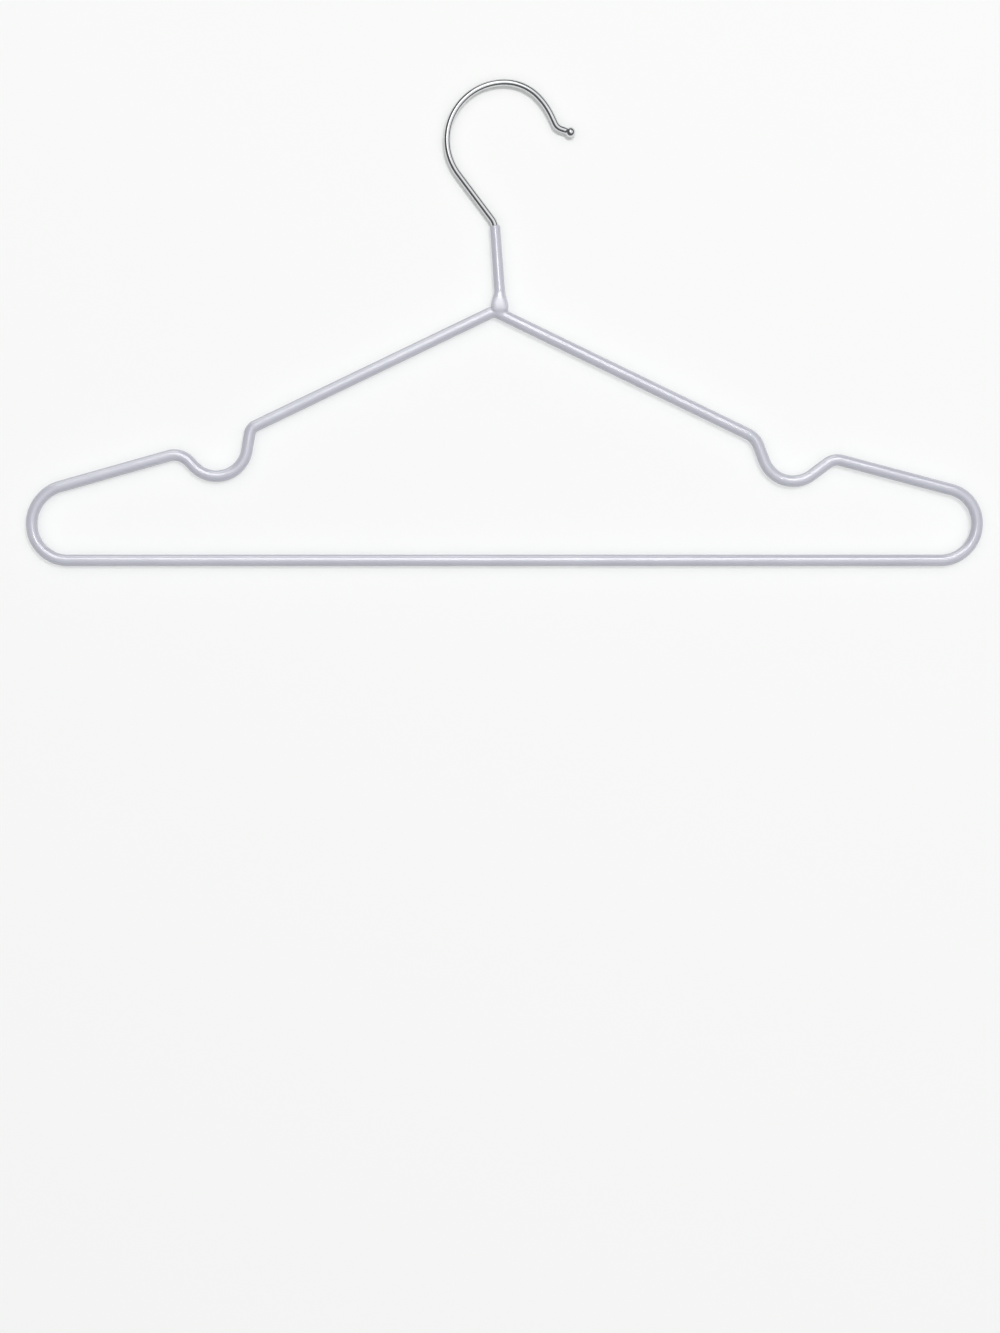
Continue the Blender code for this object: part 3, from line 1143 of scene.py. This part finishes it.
def three_way(
    skin: FlowSkin, centre: np.ndarray, mouths: Sequence[TubeMouth], rows: int, rounds: int, face: Skin
) -> Shape:
    """Spans a skin between three tube mouths that lie in one plane.

    Each pair of neighbours shares a half ring on the skin, and all three half rings meet in a pole at the
    front and one at the back. Between its half rings and its mouth each tube gets rows of four-sided faces,
    which are then evened out on the skin.

    Args:
        skin: The face to span.
        centre: A point inside, in the plane of the tubes.
        mouths: The mouths, in turning order as seen from the front.
        rows: How many rows of faces each tube gets.
        rounds: How often the places are evened out.
        face: Which face of the vinyl it is.

    Returns:
        The span, with its outer rings exactly on the mouths.
    """
    sides = len(mouths[0].ring)
    turns = np.arange(sides // 2 + 1) * 2 * math.pi / sides
    halves = []
    for this, after in zip(mouths, [*mouths[1:], mouths[0]]):
        opening = (after.heading - this.heading) % (2 * math.pi)
        aim = np.array(direction(this.heading + opening / 2))
        rays = np.cos(turns)[:, None] * np.array((0.0, -1.0, 0.0)) + np.sin(turns)[:, None] * aim
        halves.append(skin.reach(centre, rays))
    for half in halves:
        half[0], half[-1] = halves[0][0], halves[0][-1]
    grids = []
    share = np.linspace(0, 1, rows + 1)[:, None, None]
    for i, mouth in enumerate(mouths):
        inner = np.vstack([halves[i], halves[i - 1][-2:0:-1]])
        grids.append(inner * (1 - share) + mouth.ring * share)
    every = np.vstack([grid.reshape(-1, 3) for grid in grids])
    places, index = np.unique(every, axis=0, return_inverse=True)
    index = index.reshape(len(mouths), rows + 1, sides)
    faces = []
    for grid in index:
        for row in range(rows):
            for i in range(sides):
                k = (i + 1) % sides
                faces.append((grid[row, i], grid[row, k], grid[row + 1, k], grid[row + 1, i]))
    free = np.ones(len(places), bool)
    free[index[:, -1].ravel()] = False
    edges = np.array([(face[i], face[i - 1]) for face in faces for i in range(4)])
    # How many steps take the places onto the skin before the rounds, in each round and after them
    first_steps, round_steps, last_steps = 6, 1, 3
    places[free] = skin.settle(places[free], first_steps)
    for _ in range(rounds):
        total = np.zeros_like(places)
        count = np.zeros(len(places))
        for a, b in ((0, 1), (1, 0)):
            np.add.at(total, edges[:, a], places[edges[:, b]])
            np.add.at(count, edges[:, a], 1)
        mean = total / count[:, None]
        places[free] = skin.settle(mean[free], round_steps)
    places[free] = skin.settle(places[free], last_steps)
    return Shape(places, [tuple(int(i) for i in face) for face in faces], face)


@dataclass
class VinylCoat:
    """The dipped skin over the frame, both welds and the neck, hollow where the metal runs."""

    hook: HookWire
    frame: FrameWire
    frame_coat: float = 0.9 * MM
    foot_coat: float = 0.9 * MM
    mouth_coat: float = 0.65 * MM
    length: float = 38.6 * MM
    clearance: float = 0.25 * MM
    weld_width: float = 5.4 * MM
    weld_height: float = 6.2 * MM
    weld_rise: float = 4.0 * MM
    weld_shift: float = 0.5 * MM
    weld_coat: float = 1.0 * MM
    lump_sink: float = 0.6 * MM
    lump_drop: float = 2.7 * MM
    lump_rise: float = 7.0 * MM
    lump_fullness: Fullness = Fullness(section=3.4, below=3.2, above=1.6)
    neck_fillet: float = 1.5 * MM
    bore_fillet: float = 1.0 * MM
    left_fillet: float = 0.15 * MM
    right_fillet: float = 0.3 * MM
    # Where the left fillet ends and the right one begins, as X
    fillet_turn: tuple[float, float] = (-7.0 * MM, -3.0 * MM)
    # Where the tubes end and the span between them starts, and how far below the weld's middle its rays start
    left_reach: float = 10.0 * MM
    right_reach: float = 13.0 * MM
    neck_reach: float = 12.0 * MM
    ray_drop: float = 1.3 * MM
    # How wide the pale skin over the weld fades out, and how sharply it ends at the frame's own tube
    pale_fade: float = 2.6 * MM
    pale_edge: float = 0.3 * MM
    # The lip as millimetres below the mouth, and past the vinyl's outer radius or the snug bore's
    lip_outside: tuple[tuple[float, float], ...] = (
        (3.0, 0.0), (2.2, 0.02), (1.5, 0.05), (1.0, 0.05), (0.7, 0.0),
        (0.45, -0.09), (0.25, -0.2), (0.12, -0.32), (0.05, -0.4),
    )
    lip_inside: tuple[tuple[float, float], ...] = (
        (3.2, 0.2), (2.2, 0.12), (1.2, 0.0), (0.6, 0.0), (0.25, 0.0), (0.05, 0.05),
    )
    lip_clearance: float = 0.03 * MM
    lip_rim: float = 0.14 * MM
    sides: int = 48
    rows: int = 32
    rounds: int = 24
    ripple_height: float = 0.045 * MM
    ripple_length: float = 11.0 * MM
    ripple_seed: float = 4.0

    def lip(self) -> tuple[list[tuple[float, float]], list[tuple[float, float]]]:
        """Works out the rounded lip at the mouth, whose two faces end in the same ring.

        Returns:
            Distances below the mouth and radii there, outside and inside.
        """
        outer = self.hook.wire / 2 + self.mouth_coat
        snug = self.hook.wire / 2 + self.lip_clearance
        ring = [(0.0, snug + self.lip_rim)]
        outside = [(below * MM, outer + past * MM) for below, past in self.lip_outside]
        inside = [(below * MM, snug + past * MM) for below, past in self.lip_inside]
        return outside + ring, inside + ring

    def neck_stations(
        self, profile: Sequence[tuple[float, float]], skin: Skin
    ) -> tuple[list[Vector], list[float]]:
        """Lays out the neck from the junction to the mouth.

        Args:
            profile: The lip, as distances below the mouth and radii.
            skin: Which face of the vinyl.

        Returns:
            Points along the axis, and the radius at each.
        """
        body_end = self.length - profile[0][0]
        steps = math.ceil((body_end - self.neck_reach) / RUN_STEP)
        runs = [self.neck_reach + (body_end - self.neck_reach) * i / steps for i in range(steps)]
        radii = [self.neck_radius(skin, run) for run in runs]
        runs += [self.length - below for below, _ in profile]
        radii += [radius for _, radius in profile]
        return [place_along(self.hook.neck_line, run) for run in runs], radii

    @property
    def weld_centre(self) -> Vector:
        """The middle of the weld metal."""
        return self.hook.foot + self.hook.neck_up * self.weld_rise - Vector((self.weld_shift, 0.0, 0.0))

    def arm_radius(self, skin: Skin) -> float:
        """The radius of the frame's tube."""
        return self.frame.wire / 2 + (self.frame_coat if skin is Skin.OUTSIDE else self.clearance)

    def neck_radius(self, skin: Skin, run: float) -> float:
        """Works out the neck's radius.

        Args:
            skin: Which face of the vinyl.
            run: How far up from the foot.

        Returns:
            The radius there.
        """
        if skin is Skin.BORE:
            return self.hook.wire / 2 + self.clearance
        thinning = (self.mouth_coat - self.foot_coat) * run / self.length
        return self.hook.wire / 2 + self.foot_coat + thinning

    def flow(self, skin: Skin) -> FlowSkin:
        """Lays out the face where the neck, the weld and the arms meet.

        Args:
            skin: Which face of the vinyl.

        Returns:
            The face.
        """
        up = self.hook.neck_up
        axes = np.array([(up.z, 0.0, -up.x), (0.0, 1.0, 0.0), up])
        centre = self.weld_centre
        if skin is Skin.OUTSIDE:
            # Vinyl runs down the neck and gathers on the weld, so the lump is long above and short below
            centre -= up * self.lump_sink
            radius = self.weld_width / 2 + self.weld_coat
            weld = Bead(np.array(centre), axes, radius, self.lump_drop, self.lump_rise, self.lump_fullness)
        else:
            half_height = self.weld_height / 2 + self.clearance
            radius = self.weld_width / 2 + self.clearance
            weld = Bead(np.array(centre), axes, radius, half_height, half_height, Fullness())
        bend = self.frame.apex_bend(2 * self.right_reach)
        neck_end = place_along(self.hook.neck_line, self.neck_reach)
        return FlowSkin(
            arms=Tube(np.array(bend), np.full(len(bend), self.arm_radius(skin))),
            neck=Tube(
                np.array([self.hook.foot, neck_end]),
                np.array([self.neck_radius(skin, 0.0), self.neck_radius(skin, self.neck_reach)]),
            ),
            weld=weld,
            neck_fillet=self.neck_fillet if skin is Skin.OUTSIDE else self.bore_fillet,
            left_fillet=self.left_fillet,
            right_fillet=self.right_fillet,
            fillet_turn=self.fillet_turn,
        )

    def face(self, sweep: RoundSweep, skin: Skin) -> list[Shape]:
        """Makes one face of the vinyl: the frame's tube, the neck's tube and the span between them.

        Args:
            sweep: The round sweep.
            skin: Which face.

        Returns:
            The three shapes.
        """
        loop = self.frame.open_loop(self.left_reach, self.right_reach)
        arms = sweep.shape(loop, [self.arm_radius(skin)] * len(loop), self.sides, skin)
        outside_lip, inside_lip = self.lip()
        line, radii = self.neck_stations(outside_lip if skin is Skin.OUTSIDE else inside_lip, skin)
        neck = sweep.shape(line, radii, self.sides, skin)
        up, left, right = self.hook.neck_up, self.frame.left_downhill, -self.frame.right_uphill
        mouths = [
            TubeMouth.of(neck, self.sides, line[0], math.atan2(up.z, up.x)),
            TubeMouth.of(arms, self.sides, loop[0], math.atan2(left.z, left.x)),
            TubeMouth.of(arms, self.sides, loop[-1], math.atan2(right.z, right.x)),
        ]
        centre = np.array(self.weld_centre - up * self.ray_drop)
        return [arms, neck, three_way(self.flow(skin), centre, mouths, self.rows, self.rounds, skin)]

    def build(self, sweep: RoundSweep, ripple: DipRipple, material: bpy.types.Material) -> bpy.types.Mesh:
        """Makes the coat as one closed shell.

        Args:
            sweep: The round sweep.
            ripple: The dip's ripple.
            material: The vinyl.

        Returns:
            The coat's mesh.
        """
        shapes = self.face(sweep, Skin.OUTSIDE) + self.face(sweep, Skin.BORE)
        plain = joined_mesh("coat_plain", shapes)
        made = run_tree(
            "vinyl_coat",
            plain,
            ripple.tree,
            {
                "Ripple Height": self.ripple_height,
                "Ripple Length": self.ripple_length,
                "Seed": self.ripple_seed,
                "Material": material,
            },
        )
        places, flow = mesh_places(made), self.flow(Skin.OUTSIDE)
        offset = np.linalg.norm(places - flow.weld.centre, axis=1)
        share = np.clip((self.weld_width - offset) / self.pale_fade, 0, 1)
        # The frame's own tube keeps its gloss where it runs past under the lump
        share *= np.clip(flow.arms.distance(places) / self.pale_edge, 0, 1)
        made.attributes.new("weld_share", "FLOAT", "POINT").data.foreach_set("value", share)
        return made


def place_piece(name: str, mesh: bpy.types.Mesh, nodes: Sequence[str]) -> bpy.types.Object:
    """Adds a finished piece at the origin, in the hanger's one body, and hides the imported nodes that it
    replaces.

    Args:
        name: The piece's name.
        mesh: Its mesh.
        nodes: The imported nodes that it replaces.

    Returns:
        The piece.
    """
    piece = bpy.data.objects.new(name, mesh)
    bpy.context.scene.collection.objects.link(piece)
    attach(piece, BODY)
    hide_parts(*nodes)
    log.info("%s: %d faces, replaces %s", name, len(mesh.polygons), ", ".join(nodes))
    return piece


def finish_node(node: str, material: bpy.types.Material) -> None:
    """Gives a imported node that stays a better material.

    Args:
        node: The node's name.
        material: The material.
    """
    piece = frame["nodes"][node]
    piece.data.materials.clear()
    piece.data.materials.append(material)
    log.info("%s: kept, with %s", node, material.name)


class Part(Enum):
    """What a lamp shines on or is blocked by: the whole scene or one part of it."""

    ALL = "all"
    PLATE = "plate"
    VINYL = "vinyl"
    STAGE = "stage"


@dataclass(frozen=True)
class SoftBox:
    """A round or long lamp: the way from the hanger to it, its width, height and power, and what it does.

    A lamp lights surfaces and isn't seen in their gloss. A panel is only seen in gloss. What blocks a lamp
    throws its shadow.
    """

    name: str
    way: tuple[float, float, float]
    width: float
    height: float
    power: float
    distance: float = 1.7
    panel: bool = True
    shines_on: Part = Part.ALL
    blocked_by: Part = Part.ALL


@dataclass(frozen=True)
class Glow:
    """A patch of bright sky.

    It has a way, the wide and narrow angles from it, and the strengths outside the one and inside the other.
    """

    way: tuple[float, float, float]
    wide: float
    narrow: float
    outside: float
    inside: float

    def strength(self, tree: bpy.types.NodeTree, towards: bpy.types.NodeSocket) -> bpy.types.NodeSocket:
        """Works out the sky's strength in a direction.

        Args:
            tree: The sky's tree.
            towards: The direction.

        Returns:
            The strength.
        """
        way = Vector(self.way).normalized()
        aimed = add_node(
            tree, "ShaderNodeVectorMath", {"operation": "DOT_PRODUCT"}, {0: towards, 1: way}
        ).outputs["Value"]
        return add_node(
            tree,
            "ShaderNodeMapRange",
            {"interpolation_type": "SMOOTHSTEP"},
            {
                "Value": aimed,
                "From Min": math.cos(self.wide),
                "From Max": math.cos(self.narrow),
                "To Min": self.outside,
                "To Max": self.inside,
            },
        ).outputs["Result"]


@dataclass
class Studio:
    """A pale wall close behind the hanger, a pale floor, soft lamps and a sky that is brightest in front."""

    wall_place: float = 3.8 * MM
    floor_place: float = -0.56
    half_width: float = 2.0
    top: float = 1.2
    depth: float = 2.6
    wall_colour: str = "#F6F7F6"
    floor_colour: str = "#EDEEEE"
    wall_paleness: float = 0.1
    paint_dullness: float = 0.9
    paint_shine: float = 0.1
    sky_on_surfaces: Glow = Glow((0.0, -1.0, 0.0), 70 * DEGREE, 20 * DEGREE, 0.09, 0.98)
    sky_in_gloss: Glow = Glow((0.36, -1.0, 0.08), 45 * DEGREE, 25 * DEGREE, 0.12, 1.0)
    sky_behind: float = 0.95
    aim: Vector = field(default_factory=lambda: Vector((0.0, 0.0, -0.12)))
    lamps: tuple[SoftBox, ...] = (
        SoftBox("key_lamp", (0.215, -1.0, 0.195), 0.5, 0.5, 26.0, 4.0, False),
        SoftBox("wall_lamp", (0.081, -1.0, 0.25), 0.5, 0.5, 47.0, 4.0, False, Part.STAGE, Part.PLATE),
        SoftBox("vinyl_lamp", (0.215, -1.0, 0.195), 0.5, 0.5, 46.0, 4.0, False, Part.VINYL, Part.PLATE),
        SoftBox("long_panel", (0.0, -1.0, 0.66), 1.5, 0.8, 19.0, shines_on=Part.VINYL),
        SoftBox("low_panel", (0.02, -1.0, 0.137), 0.7, 0.26, 4.8, shines_on=Part.VINYL),
        SoftBox("overhead_panel", (-0.3, -0.12, 1.0), 1.5, 1.5, 18.0, shines_on=Part.VINYL),
        SoftBox("window_panel", (-0.15, -1.0, 0.37), 0.7, 0.7, 2.2, shines_on=Part.PLATE),
        SoftBox("top_panel", (-0.15, -1.0, 1.1), 0.9, 0.5, 1.2, shines_on=Part.PLATE),
    )

    def __post_init__(self) -> None:
        """Makes the groups that a lamp can be kept to."""
        self.groups = {part: bpy.data.collections.new(part.value) for part in Part if part is not Part.ALL}

    def sheet(
        self, name: str, corners: Sequence[tuple[float, float, float]], material: bpy.types.Material
    ) -> bpy.types.Object:
        """Adds a flat stage sheet.

        Args:
            name: The sheet's name.
            corners: Its four corners, turning left round the side that faces the object.
            material: Its finish.

        Returns:
            The sheet.
        """
        mesh = bpy.data.meshes.new(name)
        mesh.from_pydata(corners, [], [tuple(range(len(corners)))])
        mesh.materials.append(material)
        made = bpy.data.objects.new(name, mesh)
        bpy.context.scene.collection.objects.link(made)
        self.groups[Part.STAGE].objects.link(made)
        return made

    def paint(self, name: str, colour: str) -> bpy.types.Material:
        """Makes a matt paint.

        Args:
            name: What the paint is.
            colour: Its colour.

        Returns:
            The paint.
        """
        made, tree, shader = new_material(name)
        gloss = {"Roughness": self.paint_dullness, "Specular IOR Level": self.paint_shine}
        set_inputs(tree, shader, {"Base Color": linear(colour)} | gloss)
        return made

    def wall_paint(self) -> bpy.types.Material:
        """Makes the wall's paint, whose own paleness softens shadows, and which is clear from behind.

        Returns:
            The paint.
        """
        made = self.paint("matt_wall_paint", self.wall_colour)
        tree = made.node_tree
        path = add_node(tree, "ShaderNodeLightPath").outputs
        seen = path["Is Camera Ray"]
        for ray in ("Is Glossy Ray", "Is Transmission Ray"):
            seen = add_node(
                tree, "ShaderNodeMath", {"operation": "MAXIMUM"}, {0: seen, 1: path[ray]}
            ).outputs[0]
        share = add_node(
            tree, "ShaderNodeMath", {"operation": "MULTIPLY"}, {0: seen, 1: self.wall_paleness}
        ).outputs[0]
        pale = add_node(tree, "ShaderNodeEmission", inputs={"Color": linear(self.wall_colour)}).outputs[0]
        front = add_node(
            tree,
            "ShaderNodeMixShader",
            inputs={0: share, 1: tree.nodes["Principled BSDF"].outputs[0], 2: pale},
        ).outputs[0]
        back = add_node(tree, "ShaderNodeNewGeometry").outputs["Backfacing"]
        clear = add_node(tree, "ShaderNodeBsdfTransparent").outputs[0]
        mixed = add_node(tree, "ShaderNodeMixShader", inputs={0: back, 1: front, 2: clear}).outputs[0]
        set_inputs(tree, tree.nodes["Material Output"], {"Surface": mixed})
        return made

    def build(self) -> None:
        """Builds the stage, the lights and the camera."""
        wall = self.wall_paint()
        floor = self.paint("matt_floor_paint", self.floor_colour)
        x, y, z = self.half_width, self.wall_place, self.floor_place
        self.sheet("wall", [(-x, y, z), (x, y, z), (x, y, self.top), (-x, y, self.top)], wall)
        deep = self.depth
        ground = self.sheet("floor", [(-x, -deep, z), (x, -deep, z), (x, deep, z), (-x, deep, z)], floor)
        # The floor shows and takes shadows, but sends no light up, as if it were far below
        ground.visible_diffuse = False
        ground.visible_glossy = False
        self.sky()
        for box in self.lamps:
            self.lamp(box)
        self.camera()

    def sky(self) -> None:
        """Adds the sky, which darkens away from the front, so that round wires get darker flanks."""
        world = bpy.data.worlds.new("front_sky")
        world.use_nodes = True
        tree = world.node_tree
        towards = add_node(tree, "ShaderNodeTexCoord").outputs["Generated"]
        path = add_node(tree, "ShaderNodeLightPath").outputs
        glows = [glow.strength(tree, towards) for glow in (self.sky_on_surfaces, self.sky_in_gloss)]
        unseen = add_node(
            tree,
            "ShaderNodeMix",
            {"data_type": "FLOAT"},
            {"Factor": path["Is Glossy Ray"], 2: glows[0], 3: glows[1]},
        ).outputs[0]
        clear = add_node(
            tree,
            "ShaderNodeMath",
            {"operation": "MAXIMUM"},
            {0: path["Is Camera Ray"], 1: path["Is Transmission Ray"]},
        ).outputs[0]
        strength = add_node(
            tree, "ShaderNodeMix", {"data_type": "FLOAT"}, {"Factor": clear, 2: unseen, 3: self.sky_behind}
        ).outputs[0]
        set_inputs(tree, tree.nodes["Background"], {"Color": linear("#FFFFFF"), "Strength": strength})
        bpy.context.scene.world = world

    def lamp(self, box: SoftBox) -> None:
        """Adds a lamp that faces the hanger and isn't seen by the camera.

        Args:
            box: The lamp's sizes and place, and what it does.
        """
        lamp = bpy.data.lights.new(box.name, "AREA")
        lamp.shape = "ELLIPSE"
        lamp.size, lamp.size_y = box.width, box.height
        lamp.energy = box.power
        stand = bpy.data.objects.new(box.name, lamp)
        bpy.context.scene.collection.objects.link(stand)
        way = Vector(box.way).normalized()
        stand.location = self.aim + way * box.distance
        stand.rotation_euler = way.to_track_quat("Z", "Y").to_euler()
        stand.visible_camera = False
        stand.visible_diffuse = not box.panel
        stand.visible_glossy = box.panel
        if box.shines_on in self.groups:
            stand.light_linking.receiver_collection = self.groups[box.shines_on]
        if box.blocked_by in self.groups:
            stand.light_linking.blocker_collection = self.groups[box.blocked_by]

    def camera(self) -> None:
        """Adds the camera, level and square to the hanger."""
        lens = bpy.data.cameras.new("camera")
        lens.sensor_fit = "AUTO"
        lens.sensor_width = SENSOR
        lens.lens = SENSOR * VIEW_DISTANCE / VIEW_HEIGHT
        camera = bpy.data.objects.new("camera", lens)
        bpy.context.scene.collection.objects.link(camera)
        camera.location = VIEW_CENTRE - Vector((0.0, VIEW_DISTANCE, 0.0))
        camera.rotation_euler = (QUARTER_TURN, 0.0, 0.0)
        bpy.context.scene.camera = camera
        view = bpy.context.scene.view_settings
        view.view_transform = "Standard"


def main() -> None:
    """Builds the stage, then the hanger from the metal outwards."""
    logging.basicConfig(level=logging.INFO, format="%(message)s")
    studio = Studio()
    studio.build()
    sweep, ripple = RoundSweep(), DipRipple()
    plate, steel, weld = PlatedWire().material(), DRAWN_WIRE.material(), WELD_METAL.material()
    hook = HookWire()
    frame_wire = FrameWire(hook)
    coat = VinylCoat(hook, frame_wire)
    hook_mesh = hook.build(sweep, frame_wire.right_uphill, frame_wire.wire, plate)
    bare = place_piece("hook", hook_mesh, ["hook_wire"])
    place_piece("frame_wire_round", frame_wire.build(sweep, steel), ["frame_wire"])
    finish_node("hook_weld", weld)
    finish_node("frame_butt_weld", weld)
    coat_mesh = coat.build(sweep, ripple, DippedVinyl().material())
    skin = place_piece("vinyl_coat", coat_mesh, ["vinyl_coating"])
    studio.groups[Part.PLATE].objects.link(bare)
    studio.groups[Part.VINYL].objects.link(skin)


if __name__ == "__main__":
    main()
